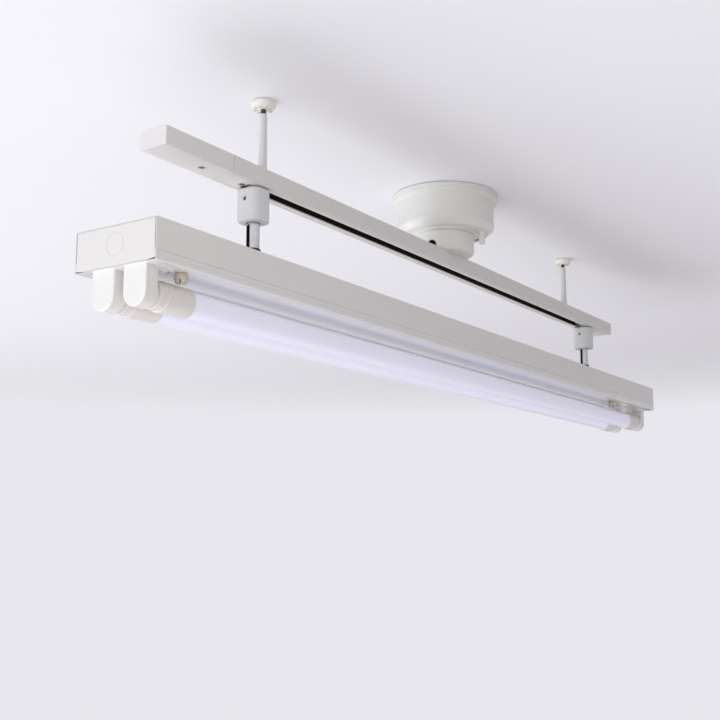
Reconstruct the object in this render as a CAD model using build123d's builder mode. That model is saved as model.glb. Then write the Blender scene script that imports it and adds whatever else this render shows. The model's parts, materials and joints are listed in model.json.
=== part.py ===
from build123d import *
from math import cos, radians, sin
import os

os.makedirs("parts", exist_ok=True)

# LED tube light fixture that plugs into a short lighting rail under a ceiling rose.
# Millimetres. +Z up, +X along the rail, origin at the centre of the canopy's rim on the ceiling plane.

# Clearances
running = 0.05  # radial, between a turning shaft and its hole
easy = 0.3  # between faces that move past each other
snug = 0.1  # between pieces that are pushed together

# Canopy and its inside
rim_radius = 70.0
rim_height = 10.0
canopy_radius = 65.0
canopy_straight = 45.0
canopy_floor = 52.0
canopy_floor_radius = 57.0
canopy_wall = 2.2
canopy_rounding = 3.0
rim_rounding = 1.5
rim_cove = 1.0
collar_radius = 44.0
collar_height = 2.0
throat_radius = 20.0
plate_radius = 54.0
plate_thickness = 1.6
canopy_screw_radius = 47.8
canopy_screw_angle = -31.5
canopy_screw_spread = 90.0
plug_radius = 29.0
plug_flat = 27.0
plug_height = 18.0
plug_top = -21.0
plug_rounding = 1.5
blade_pitch = 22.0
blade_width = 9.0
blade_thickness = 1.6
blade_rise = 10.0
blade_root = 6.0
blade_hook = 4.0
bracket_width = 28.0
bracket_sheet = 1.6
bracket_grip = 13.0
thumb_screw_place = 52.0
thumb_screw_angle = -83.0
thumb_screw_radius = 3.5
thumb_screw_length = 18.0
thumb_screw_straight = 12.0
thumb_screw_flare = 0.5
thumb_screw_shank = 2.0

# Neck and swivel
neck_radius = 38.0
neck_wall = 2.2
neck_rounding = 5.0
notch_width = 14.0
notch_height = 14.0
nipple_radius = 7.0
nipple_bore = 4.5
nipple_flange_radius = 24.0
nipple_flange = 3.0
nipple_spare = 1.0
nut_height = 5.0
nut_flats = 22.0

# Rail
rail_drop = 80.5
rail_length = 1103.0
rail_width = 33.0
rail_height = 19.0
rail_wall = 1.2
rail_slot = 13.8
rail_rounding = 0.5
rail_groove_place = 13.0
rail_groove = 0.8
rail_groove_depth = 0.45
lead_hole_radius = 1.7
lead_hole_pitch = 4.6
liner_side = 2.2
liner_lip = 1.0
liner_lip_setback = 0.6
liner_roof = 1.0
conductor_height = 5.0
conductor_thickness = 1.2
conductor_rise = 6.0
feed_cap_length = 97.5
feed_cap_wall = 2.5
feed_tongue = 34.5
feed_screw_inset = 67.5
tongue_screw_inset = 4.0
tongue_rib = 1.6
feed_cap_rounding = 0.8
feed_cap_end_rounding = 0.5
feed_cap_seam = 0.6
right_cap_flange = 2.0
right_cap_tongue = 52.5
right_cap_plug = 44.0
right_screw_inset = 41.0
cap_screw_length = 4.5
contact_sheet = 1.0
contact_height = 3.0
contact_reach = 16.0

# Screws
screw_radius = 2.0
roof_screw_radius = 1.75
screw_head_radius = 3.6
screw_head = 1.4
recess_width = 0.9
recess_depth = 0.8
edge_break = 0.8

# Support rods and feet
rod_spread = 390.0
rod_foot_radius = 4.75
rod_top_radius = 4.0
rod_bore_depth = 44.0
stud_show = 5.2
stud_radius = 3.0
stud_length = 42.0
stud_seat = 5.5
rod_screw_length = 14.0
pad_radius = 12.85
pad_disc = 5.0
pad_ring_radius = 11.8
pad_ring = 3.0
pad_lobes = 8
pad_pocket_radius = 2.3
pad_pocket_place = 8.4
pad_pocket_depth = 3.6
pad_scallop_radius = 1.8
pad_scallop_place = 13.0
pad_rounding = 0.8

# Lamp body
body_drop = 184.0
body_length = 1250.0
body_width = 100.0
body_height = 39.0
body_sheet = 0.8
body_bend = 1.2
pan_sheet = 0.6
pan_flange = 9.0
pan_bend = 1.2
pan_crease_rise = 4.3
pan_crease = 0.7
pan_crease_depth = 0.25
lap_depth = 7.5
lap_gap = 0.05
end_gap = 0.35
end_bend = 1.2
end_flange = 13.0
end_flange_trim = 4.0
end_corner_width = 10.0
end_corner_height = 1.1
knockout_radius = 11.0
knockout_groove = 0.7
knockout_depth = 0.35
knockout_rise = 20.9
pan_hole_width = 6.0
pan_hole_left = 39.0
pan_hole_right = 76.0
pan_hole_offset = 25.0
drain_hole_radius = 1.3
drain_hole_inset = 5.0
drain_hole_offset = 33.0

# Stems and adaptors
left_stem_gap = 15.5
right_stem_gap = 33.0
stem_radius = 6.75
stem_bore = 4.0
stem_shank_radius = 5.0
stem_shank = 11.0
stem_nut_flats = 17.0
stem_nut = 6.0
bush_radius = 8.25
bush_height = 20.5
adaptor_width = 29.0
adaptor_corner = 10.0
adaptor_height = 35.3
adaptor_gap = 1.5
adaptor_rounding = 2.5
adaptor_top_rounding = 1.6
adaptor_mouth_radius = 8.0
adaptor_mouth = 4.0
adaptor_roof = 7.0
set_screw_drop = 11.8
set_screw_radius = 2.2
set_screw_recess = 1.2
set_screw_cross = 3.2
head_radius = 12.4
head_width = 12.0
head_height = 7.0
head_neck_radius = 6.0
head_spigot_radius = 4.0
head_spigot = 4.0
blade_contact_width = 4.0
blade_contact_depth = 1.4
blade_contact_height = 3.0

# Lampholders
holder_width = 28.0
holder_thickness = 14.5
holder_boss = 6.0
holder_boss_radius = 10.5
holder_boss_base = 2.6
holder_boss_base_radius = 12.0
holder_seam_inset = 3.4
holder_seam = 0.7
holder_seam_depth = 0.35
holder_hole_radius = 1.0
holder_hole_depth = 3.0
holder_hole_offset = 11.2
holder_hole_rise = 10.1
holder_rounding = 1.5
holder_neck_width = 20.0
holder_neck_depth = 9.0
holder_neck = 10.0
holder_tongue = 12.0
holder_tongue_width = 7.0
holder_tongue_drop = 3.0
rotor_radius = 8.5
rotor_length = 8.0
rotor_slot = 3.0
entry_slot = 3.2

# Tubes
tube_length = 1198.0
tube_pitch = 39.4
tube_drop = 22.5
diffuser_radius = 12.7
diffuser_wall = 1.0
cap_radius = 14.0
cap_length = 45.0
cap_collar = 10.0
cap_collar_radius = 13.1
cap_ridge = 1.8
cap_ridge_height = 0.4
cap_end_wall = 3.0
cap_socket = 32.0
cap_rounding = 2.5
cap_cavity_radius = 11.0
pin_radius = 1.175
pin_pitch = 12.7
pin_length = 7.2
board_thickness = 1.0
board_rise = 8.0
board_width = 14.0
board_margin = 22.0
chip_size = 3.0
chip_height = 0.7
chip_pitch = 48.0
driver_length = 70.0
driver_width = 15.0
driver_board = 1.4
driver_parts = 3
driver_part_height = 6.0
driver_part_length = 12.0
driver_part_width = 8.0

# Pan knobs and wiring
knob_left = 50.0
knob_right = 155.0
knob_offset = 33.0
knob_radius = 6.3
knob_top_radius = 5.6
knob_tip_radius = 5.0
knob_height = 9.0
knob_bevel = 2.0
knob_straight = 5.0
knob_slot = 2.0
knob_slot_depth = 3.0
knob_slot_turn = 34.0
knob_shank = 2.0
knob_shank_length = 9.0
knob_bracket_sheet = 1.2
knob_bracket_width = 16.0
knob_bracket_flange = 17.0
knob_bracket_rise = 6.0
block_place = 90.0
block_length = 40.0
block_width = 54.0
block_height = 23.0
block_port_radius = 2.6
block_port_depth = 4.0
block_ports = 6
lead_radius = 1.6
lead_drop = 12.0
lead_bend = 6.0
supply_radius = 2.4
supply_drop = 19.0

# Levels and places that follow from the sizes above
rail_top = -rail_drop
rail_bottom = rail_top - rail_height
lip_top = rail_bottom + rail_wall
roof_under = rail_top - rail_wall
rail_inner = rail_width / 2 - rail_wall
liner_inner = rail_inner - liner_side
rail_left = -rail_length / 2
rail_right = rail_length / 2
profile_left = rail_left + feed_cap_length
profile_right = rail_right - right_cap_flange
tongue_half = rail_slot / 2 - snug
conductor_low = lip_top + conductor_rise - conductor_height / 2

neck_top = -canopy_floor - collar_height - easy
neck_floor = rail_top + neck_wall
plate_low = -canopy_floor + canopy_wall
bracket_low = plate_low + plate_thickness
nut_low = bracket_low + bracket_sheet + easy
nipple_top = nut_low + nut_height + nipple_spare

body_top = -body_drop
body_roof = body_top - body_sheet
body_bottom = body_top - body_height
pan_top = body_bottom + pan_sheet
body_half = body_width / 2
lap_face = body_half - pan_sheet - lap_gap
lap_inner = lap_face - body_sheet
tube_z = body_bottom - tube_drop
holder_half = holder_width / 2
cap_face = tube_length / 2
holder_inner = cap_face + holder_boss
holder_middle = holder_inner + holder_thickness / 2
adaptor_top = rail_bottom - adaptor_gap
adaptor_bottom = adaptor_top - adaptor_height
adaptor_half = adaptor_width / 2
stem_top = adaptor_top - adaptor_roof - easy
head_low = lip_top + liner_lip + easy
contact_middle = conductor_low + conductor_height / 2
pad_bottom = -pad_disc - pad_ring
rod_top = pad_bottom - stud_show
knob_top = body_bottom - easy

lanes = {"front": -tube_pitch / 2, "rear": tube_pitch / 2}
ends = {"left": -1, "right": 1}
stem_x = {
    "left": profile_left + feed_tongue + left_stem_gap,
    "right": rail_right - right_cap_tongue - right_stem_gap,
}
body_shift = (stem_x["left"] + stem_x["right"]) / 2
stem_spread = (stem_x["right"] - stem_x["left"]) / 2
rod_x = {end: side * rod_spread for end, side in ends.items()}
knob_x = {
    "left": body_shift - body_length / 2 + knob_left,
    "right": body_shift + body_length / 2 - knob_right,
}


def save(piece, name):
    """Label a finished piece and write its file."""
    piece.part.label = name
    export_step(piece.part, f"parts/{name}.step")


def span(u0, u1, v0, v1, mode=Mode.ADD):
    """Rectangle between two corners of the active sketch."""
    with Locations(((u0 + u1) / 2, (v0 + v1) / 2)):
        Rectangle(abs(u1 - u0), abs(v1 - v0), mode=mode)


def polar(radius, angle):
    """Point on a circle about the canopy's axis."""
    return radius * cos(radians(angle)), radius * sin(radians(angle))


def level(z, x=0.0, y=0.0):
    """Horizontal plane at a height, with its origin above a place."""
    return Plane.XY.move(Location((x, y, z)))


def upright(x, y, z):
    """Vertical plane through a place: local x runs along +X and local y runs up."""
    return Plane(origin=(x, y, z), x_dir=(1, 0, 0), z_dir=(0, -1, 0))


def end_x(side, inset):
    """Place along the lamp body, measured in from one of its ends."""
    return body_shift + side * (body_length / 2 - inset)


def tube_plane(side, lane_y, reach=0.0):
    """Plane through a tube's axis: local x runs in from the cap's face, local y runs up."""
    face = (body_shift + side * (cap_face + reach), lane_y, tube_z)
    return Plane(origin=face, x_dir=(-side, 0, 0), z_dir=(0, side, 0))


def across(side, lane_y, reach):
    """Plane square to a tube's axis, facing out of the lamp body, a given way past the cap's face."""
    place = (body_shift + side * (cap_face + reach), lane_y, tube_z)
    return Plane(origin=place, x_dir=(0, side, 0), z_dir=(side, 0, 0))


# Canopy: a shell of revolution, open at the ceiling, with a collar round its throat
with BuildPart() as canopy:
    with BuildSketch(Plane.XZ):
        with BuildLine():
            Polyline(
                (0, 0),
                (rim_radius, 0),
                (rim_radius, -rim_height),
                (canopy_radius, -rim_height),
                (canopy_radius, -canopy_straight),
                (canopy_floor_radius, -canopy_floor),
                (0, -canopy_floor),
                close=True,
            )
        make_face()
    revolve(axis=Axis.Z)
    bevel_edges = canopy.edges().filter_by(GeomType.CIRCLE).filter_by(
        lambda edge: edge.center().Z < -rim_height - canopy_rounding
    )
    fillet(bevel_edges, canopy_rounding)
    rim_edge = canopy.edges().filter_by(GeomType.CIRCLE).filter_by(
        lambda edge: abs(edge.center().Z + rim_height) < snug and edge.radius > canopy_radius + snug
    )
    fillet(rim_edge, rim_rounding)
    step_edge = canopy.edges().filter_by(GeomType.CIRCLE).filter_by(
        lambda edge: abs(edge.center().Z + rim_height) < snug and edge.radius < canopy_radius + snug
    )
    fillet(step_edge, rim_cove)
    offset(amount=-canopy_wall, openings=canopy.faces().sort_by(Axis.Z)[-1])
    with BuildSketch(level(-canopy_floor)):
        Circle(collar_radius)
    extrude(amount=-collar_height)
    with BuildSketch(level(-canopy_floor - collar_height)):
        Circle(throat_radius)
    extrude(amount=collar_height + canopy_wall, mode=Mode.SUBTRACT)
    with BuildSketch(level(plate_low)):
        with PolarLocations(canopy_screw_radius, 2, canopy_screw_angle, 2 * canopy_screw_spread):
            Circle(screw_radius + snug)
        with Locations(polar(thumb_screw_place, thumb_screw_angle)):
            Circle(thumb_screw_shank + running)
    extrude(amount=-canopy_wall, mode=Mode.SUBTRACT)
save(canopy, "canopy_cover")

# Round steel plate on the canopy's floor, with the bracket that grips the ceiling plug welded on
with BuildPart() as plate:
    with BuildSketch(level(plate_low)):
        Circle(plate_radius)
        Circle(nipple_radius + running, mode=Mode.SUBTRACT)
        with PolarLocations(canopy_screw_radius, 2, canopy_screw_angle, 2 * canopy_screw_spread):
            Circle(screw_radius + snug, mode=Mode.SUBTRACT)
        with Locations(polar(thumb_screw_place, thumb_screw_angle)):
            Circle(thumb_screw_shank + running, mode=Mode.SUBTRACT)
    extrude(amount=plate_thickness)
    with BuildSketch(Plane.YZ):
        grip_top = plug_top - plug_height + bracket_grip
        span(-plug_flat - bracket_sheet, plug_flat + bracket_sheet, bracket_low, grip_top)
        span(-plug_flat, plug_flat, bracket_low + bracket_sheet, grip_top, mode=Mode.SUBTRACT)
    extrude(amount=bracket_width / 2, both=True)
    with BuildSketch(level(bracket_low)):
        Circle(nipple_radius + running)
    extrude(amount=bracket_sheet, mode=Mode.SUBTRACT)
save(plate, "canopy_plate")

# Ceiling plug: a moulded disc with two flats, and pockets for its blades
with BuildPart() as plug:
    with BuildSketch(level(plug_top - plug_height)):
        Circle(plug_radius)
        Rectangle(2 * plug_radius, 2 * plug_flat, mode=Mode.INTERSECT)
        Circle(nipple_bore, mode=Mode.SUBTRACT)
    extrude(amount=plug_height)
    fillet(plug.faces().sort_by(Axis.Z)[-1].outer_wire().edges(), plug_rounding)
    with BuildSketch(level(plug_top)):
        with GridLocations(blade_pitch, 0, 2, 1):
            Rectangle(blade_thickness, blade_width)
    extrude(amount=-blade_root, mode=Mode.SUBTRACT)
save(plug, "plug_body")

# Two hooked blades that turn into the ceiling rose
with BuildPart() as blades:
    with BuildSketch(Plane.XZ):
        inner = blade_pitch / 2 - blade_thickness / 2
        outer = blade_pitch / 2 + blade_thickness / 2
        span(inner, outer, plug_top - blade_root, plug_top + blade_rise)
        span(inner, outer + blade_hook, plug_top + blade_rise - blade_thickness, plug_top + blade_rise)
        mirror(about=Plane.YZ)
    extrude(amount=blade_width / 2, both=True)
save(blades, "plug_blades")

# Two cross-recessed pan-head screws up through the canopy's floor into the plate
with BuildPart() as canopy_screws:
    with BuildSketch(level(-canopy_floor)):
        with PolarLocations(canopy_screw_radius, 2, canopy_screw_angle, 2 * canopy_screw_spread):
            Circle(screw_head_radius)
    extrude(amount=-screw_head)
    with BuildSketch(level(-canopy_floor)):
        with PolarLocations(canopy_screw_radius, 2, canopy_screw_angle, 2 * canopy_screw_spread):
            Circle(screw_radius)
    extrude(amount=canopy_wall + plate_thickness)
    with BuildSketch(level(-canopy_floor - screw_head)):
        with PolarLocations(canopy_screw_radius, 2, canopy_screw_angle, 2 * canopy_screw_spread):
            Rectangle(2 * screw_radius, recess_width)
            Rectangle(recess_width, 2 * screw_radius)
    extrude(amount=recess_depth, mode=Mode.SUBTRACT)
save(canopy_screws, "canopy_screws")

# White thumb screw that hangs from the canopy's floor
thumb_x, thumb_y = polar(thumb_screw_place, thumb_screw_angle)
with BuildPart() as thumb_screw:
    with BuildSketch(upright(thumb_x, thumb_y, -canopy_floor)):
        with BuildLine():
            Polyline(
                (0, canopy_wall + plate_thickness),
                (thumb_screw_shank, canopy_wall + plate_thickness),
                (thumb_screw_shank, -easy),
                (thumb_screw_radius, -easy),
                (thumb_screw_radius, -thumb_screw_straight),
                (thumb_screw_radius + thumb_screw_flare, -thumb_screw_length + thumb_screw_flare),
                (thumb_screw_radius, -thumb_screw_length),
                (0, -thumb_screw_length),
                close=True,
            )
        make_face()
    revolve(axis=Axis((thumb_x, thumb_y, 0), (0, 0, 1)))
save(thumb_screw, "thumb_screw")

# Neck: a cup that stands on the rail, with an arched notch over the rail's axis
with BuildPart() as neck:
    with BuildSketch(level(rail_top)):
        Circle(neck_radius)
    extrude(amount=neck_top - rail_top)
    fillet(neck.edges().filter_by(GeomType.CIRCLE).sort_by(Axis.Z)[0], neck_rounding)
    offset(amount=-neck_wall, openings=neck.faces().sort_by(Axis.Z)[-1])
    with BuildSketch(level(rail_top)):
        Circle(nipple_bore)
        with GridLocations(nipple_flange_radius + nipple_radius, 0, 2, 1):
            Circle(roof_screw_radius + snug)
    extrude(amount=neck_wall, mode=Mode.SUBTRACT)
    with BuildSketch(Plane.YZ.offset(-neck_radius)):
        arch = notch_width / 2
        span(-arch, arch, rail_top, rail_top + notch_height - arch)
        with Locations((0, rail_top + notch_height - arch)):
            Circle(arch)
    extrude(amount=neck_rounding + neck_wall, mode=Mode.SUBTRACT)
save(neck, "neck_cover")

# Hollow nipple that the rail turns on, with a flange screwed down to the rail
with BuildPart() as nipple:
    with BuildSketch(level(neck_floor)):
        Circle(nipple_flange_radius)
    extrude(amount=nipple_flange)
    with BuildSketch(level(neck_floor)):
        Circle(nipple_radius)
    extrude(amount=nipple_top - neck_floor)
    with BuildSketch(level(neck_floor)):
        Circle(nipple_bore)
    extrude(amount=nipple_top - neck_floor, mode=Mode.SUBTRACT)
    with BuildSketch(level(neck_floor)):
        with GridLocations(nipple_flange_radius + nipple_radius, 0, 2, 1):
            Circle(roof_screw_radius + snug)
    extrude(amount=nipple_flange, mode=Mode.SUBTRACT)
save(nipple, "swivel_nipple")

with BuildPart() as swivel_nut:
    with BuildSketch(level(nut_low)):
        RegularPolygon(nut_flats / 2, 6, major_radius=False)
        Circle(nipple_radius + running, mode=Mode.SUBTRACT)
    extrude(amount=nut_height)
save(swivel_nut, "swivel_nut")

# Rail: a channel with two grooved inward lips, drilled in its roof
with BuildPart() as rail:
    with BuildSketch(Plane.YZ.offset(profile_left)) as rail_section:
        span(-rail_width / 2, rail_width / 2, rail_bottom, rail_top)
        fillet(rail_section.vertices(), rail_rounding)
        span(-rail_inner, rail_inner, lip_top, roof_under, mode=Mode.SUBTRACT)
        span(-rail_slot / 2, rail_slot / 2, rail_bottom, lip_top, mode=Mode.SUBTRACT)
        with Locations((-rail_groove_place, rail_bottom), (rail_groove_place, rail_bottom)):
            Rectangle(rail_groove, 2 * rail_groove_depth, mode=Mode.SUBTRACT)
    extrude(amount=profile_right - profile_left)
    with BuildSketch(level(rail_top)):
        with GridLocations(0, lead_hole_pitch, 1, 2):
            Circle(lead_hole_radius)
        with GridLocations(nipple_flange_radius + nipple_radius, 0, 2, 1):
            Circle(roof_screw_radius + snug)
        with GridLocations(2 * rod_spread, 0, 2, 1):
            Circle(roof_screw_radius + snug)
    extrude(amount=-rail_wall, mode=Mode.SUBTRACT)
save(rail, "rail_profile")

# Black liner: an inverted channel in the rail, with a lip and a conductor groove on each side
with BuildPart() as liner:
    with BuildSketch(Plane.YZ.offset(profile_left)):
        span(0, rail_inner, roof_under - liner_roof, roof_under)
        span(liner_inner, rail_inner, lip_top, roof_under)
        span(rail_slot / 2 + liner_lip_setback, rail_inner, lip_top, lip_top + liner_lip)
        span(
            liner_inner,
            liner_inner + conductor_thickness,
            conductor_low,
            conductor_low + conductor_height,
            mode=Mode.SUBTRACT,
        )
        mirror(about=Plane.YZ)
    extrude(amount=profile_right - profile_left)
    with BuildSketch(level(roof_under)):
        with GridLocations(0, lead_hole_pitch, 1, 2):
            Circle(lead_hole_radius)
        with GridLocations(nipple_flange_radius + nipple_radius, 0, 2, 1):
            Circle(screw_head_radius + snug)
        with GridLocations(2 * rod_spread, 0, 2, 1):
            Circle(screw_head_radius + snug)
    extrude(amount=-liner_roof, mode=Mode.SUBTRACT)
save(liner, "rail_liner")

# Two copper strips in the liner's grooves
with BuildPart() as conductors:
    with BuildSketch(Plane.YZ.offset(profile_left)):
        span(
            liner_inner,
            liner_inner + conductor_thickness,
            conductor_low,
            conductor_low + conductor_height,
        )
        mirror(about=Plane.YZ)
    extrude(amount=rail_right - right_cap_plug - profile_left)
save(conductors, "rail_conductors")

# Feed cap: a hollow box of the rail's section, with a tongue that fills the start of the slot
feed_screw_x = rail_left + feed_screw_inset
tongue_screw_x = profile_left + feed_tongue - tongue_screw_inset
right_screw_x = rail_right - right_screw_inset
with BuildPart() as feed_cap:
    with BuildSketch(Plane.YZ.offset(rail_left)) as feed_section:
        span(-rail_width / 2, rail_width / 2, rail_bottom, rail_top)
        fillet(feed_section.vertices(), feed_cap_rounding)
    extrude(amount=feed_cap_length - feed_cap_seam)
    fillet(feed_cap.faces().sort_by(Axis.X)[0].edges(), feed_cap_end_rounding)
    with BuildSketch(Plane.YZ.offset(profile_left)):
        span(-liner_inner, liner_inner, rail_bottom + 2 * feed_cap_wall, rail_top - feed_cap_wall)
    extrude(amount=feed_cap_wall - feed_cap_length, mode=Mode.SUBTRACT)
    with BuildSketch(Plane.YZ.offset(profile_left - feed_cap_seam)):
        span(-tongue_half, tongue_half, rail_bottom, lip_top + tongue_rib)
    extrude(amount=feed_cap_seam + feed_tongue)
    for hole_x in (feed_screw_x, tongue_screw_x):
        with BuildSketch(level(rail_bottom, hole_x)):
            Circle(screw_head_radius + snug)
        extrude(amount=screw_head + snug, mode=Mode.SUBTRACT)
        with BuildSketch(level(rail_bottom, hole_x)):
            Circle(screw_radius + snug)
        extrude(amount=2 * feed_cap_wall, mode=Mode.SUBTRACT)
save(feed_cap, "feed_end_cap")

# Two spring strips that carry the supply from the feed cap onto the conductors
with BuildPart() as feed_contacts:
    with BuildSketch(Plane.YZ.offset(rail_left + feed_cap_wall)):
        span(
            liner_inner - contact_sheet,
            liner_inner,
            contact_middle - contact_height / 2,
            contact_middle + contact_height / 2,
        )
        mirror(about=Plane.YZ)
    extrude(amount=feed_cap_length - feed_cap_wall + contact_reach)
save(feed_contacts, "feed_contacts")

# Right cap: an end flange, a plug inside the rail and a tongue in the end of the slot
with BuildPart() as right_cap:
    with BuildSketch(Plane.YZ.offset(profile_right)) as right_section:
        span(-rail_width / 2, rail_width / 2, rail_bottom, rail_top)
        fillet(right_section.vertices(), rail_rounding)
    extrude(amount=right_cap_flange)
    with BuildSketch(Plane.YZ.offset(profile_right)):
        span(-tongue_half, tongue_half, rail_bottom, lip_top + tongue_rib)
    extrude(amount=-right_cap_tongue + right_cap_flange)
    with BuildSketch(Plane.YZ.offset(profile_right)):
        plug_half = liner_inner - snug
        span(-tongue_half, tongue_half, rail_bottom, roof_under - liner_roof - snug)
        plug_low = lip_top + liner_lip + snug
        span(-plug_half, plug_half, plug_low, roof_under - liner_roof - snug)
    extrude(amount=-right_cap_plug + right_cap_flange)
    with BuildSketch(level(rail_bottom, right_screw_x)):
        Circle(screw_head_radius + snug)
    extrude(amount=screw_head + snug, mode=Mode.SUBTRACT)
    with BuildSketch(level(rail_bottom, right_screw_x)):
        Circle(screw_radius + snug)
    extrude(amount=2 * feed_cap_wall, mode=Mode.SUBTRACT)
save(right_cap, "end_cap_right")

# Screws in the end caps, sunk below the caps' faces, with cross recesses
with BuildPart() as cap_screws:
    for seat_x in (feed_screw_x, tongue_screw_x, right_screw_x):
        with BuildSketch(level(rail_bottom + snug, seat_x)):
            Circle(screw_head_radius)
        extrude(amount=screw_head)
        with BuildSketch(level(rail_bottom + snug, seat_x)):
            Circle(screw_radius)
        extrude(amount=cap_screw_length)
        with BuildSketch(level(rail_bottom + snug, seat_x)):
            Rectangle(2 * screw_radius, recess_width)
            Rectangle(recess_width, 2 * screw_radius)
        extrude(amount=recess_depth, mode=Mode.SUBTRACT)
save(cap_screws, "end_cap_screws")

# Screws through the rail's roof: two down through the nipple's flange, two up into the rods
with BuildPart() as roof_screws:
    flange_top = neck_floor + nipple_flange
    with BuildSketch(level(flange_top)):
        with GridLocations(nipple_flange_radius + nipple_radius, 0, 2, 1):
            Circle(screw_head_radius)
    extrude(amount=screw_head)
    with BuildSketch(level(flange_top)):
        with GridLocations(nipple_flange_radius + nipple_radius, 0, 2, 1):
            Circle(roof_screw_radius)
    extrude(amount=roof_under - liner_roof - flange_top)
    with BuildSketch(level(roof_under)):
        with GridLocations(2 * rod_spread, 0, 2, 1):
            Circle(screw_head_radius)
    extrude(amount=-screw_head)
    with BuildSketch(level(roof_under)):
        with GridLocations(2 * rod_spread, 0, 2, 1):
            Circle(roof_screw_radius)
    extrude(amount=rod_screw_length)
save(roof_screws, "rail_roof_screws")

# Support rods, studs and pads
for end in ends:
    with BuildPart() as rod:
        with BuildSketch(level(rail_top, rod_x[end])):
            Circle(rod_foot_radius)
        with BuildSketch(level(rod_top, rod_x[end])):
            Circle(rod_top_radius)
        loft()
        with BuildSketch(level(rod_top, rod_x[end])):
            Circle(stud_radius + running)
        extrude(amount=-rod_bore_depth, mode=Mode.SUBTRACT)
        with BuildSketch(level(rail_top, rod_x[end])):
            Circle(roof_screw_radius + running)
        extrude(amount=rod_screw_length, mode=Mode.SUBTRACT)
    save(rod, f"support_rod_{end}")

    with BuildPart() as stud:
        with BuildSketch(level(pad_bottom + stud_seat - easy, rod_x[end])):
            Circle(stud_radius)
        extrude(amount=-stud_length)
        chamfer(stud.edges().filter_by(GeomType.CIRCLE), edge_break)
    save(stud, f"foot_stud_{end}")

    with BuildPart() as pad:
        with BuildSketch(level(0, rod_x[end])):
            Circle(pad_radius)
        extrude(amount=-pad_disc)
        fillet(pad.edges().filter_by(GeomType.CIRCLE), pad_rounding)
        with BuildSketch(level(-pad_disc, rod_x[end])):
            Circle(pad_ring_radius)
            with PolarLocations(pad_scallop_place, pad_lobes):
                Circle(pad_scallop_radius, mode=Mode.SUBTRACT)
        extrude(amount=-pad_ring)
        with BuildSketch(level(pad_bottom, rod_x[end])):
            with PolarLocations(pad_pocket_place, pad_lobes, start_angle=180 / pad_lobes):
                Circle(pad_pocket_radius)
        extrude(amount=pad_pocket_depth, mode=Mode.SUBTRACT)
        with BuildSketch(level(pad_bottom, rod_x[end])):
            Circle(stud_radius + running)
        extrude(amount=stud_seat, mode=Mode.SUBTRACT)
    save(pad, f"foot_pad_{end}")

# Lamp body: a folded channel whose lower edges step in, so that the pan laps over them flush
with BuildPart() as chassis:
    with BuildSketch(Plane.YZ.offset(end_x(-1, 0))) as chassis_section:
        step_low = body_bottom + pan_flange + easy
        span(0, body_half, body_roof, body_top)
        span(body_half - body_sheet, body_half, step_low, body_top)
        span(lap_inner, body_half, step_low, step_low + body_sheet)
        span(lap_inner, lap_face, step_low - lap_depth, step_low + body_sheet)
        fillet(chassis_section.vertices().group_by(Axis.Y)[-1].sort_by(Axis.X)[-1], body_bend)
        mirror(about=Plane.YZ)
    extrude(amount=body_length)
    with BuildSketch(level(body_top, body_shift)):
        with GridLocations(2 * stem_spread, 0, 2, 1):
            Circle(stem_shank_radius + snug)
    extrude(amount=-body_sheet, mode=Mode.SUBTRACT)
save(chassis, "chassis")

# Reflector pan: flat, with creased turned-up sides, windows for the lampholders and holes for the knobs
with BuildPart() as pan:
    with BuildSketch(Plane.YZ.offset(end_x(-1, 0))) as pan_section:
        span(-body_half, body_half, body_bottom, body_bottom + pan_flange)
        fillet(pan_section.vertices().sort_by(Axis.Y)[:2], pan_bend)
        span(
            -body_half + pan_sheet,
            body_half - pan_sheet,
            pan_top,
            body_bottom + pan_flange,
            mode=Mode.SUBTRACT,
        )
        crease_low = body_bottom + pan_crease_rise
        for crease_side in ends.values():
            span(
                crease_side * body_half,
                crease_side * (body_half - pan_crease_depth),
                crease_low,
                crease_low + pan_crease,
                mode=Mode.SUBTRACT,
            )
    extrude(amount=body_length)
    with BuildSketch(level(body_bottom, body_shift)):
        with GridLocations(2 * holder_middle, tube_pitch, 2, 2):
            Rectangle(holder_neck_depth + 2 * snug, holder_neck_width + 2 * snug)
    extrude(amount=pan_sheet, mode=Mode.SUBTRACT)
    with BuildSketch(level(body_bottom)):
        for x in knob_x.values():
            with Locations((x, -knob_offset)):
                Circle(knob_shank + easy)
        for x in (end_x(-1, pan_hole_left), end_x(1, pan_hole_right)):
            with Locations((x, -pan_hole_offset)):
                Rectangle(pan_hole_width, pan_hole_width)
        with Locations((end_x(-1, drain_hole_inset), drain_hole_offset)):
            Circle(drain_hole_radius)
    extrude(amount=pan_sheet, mode=Mode.SUBTRACT)
save(pan, "reflector_pan")

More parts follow.
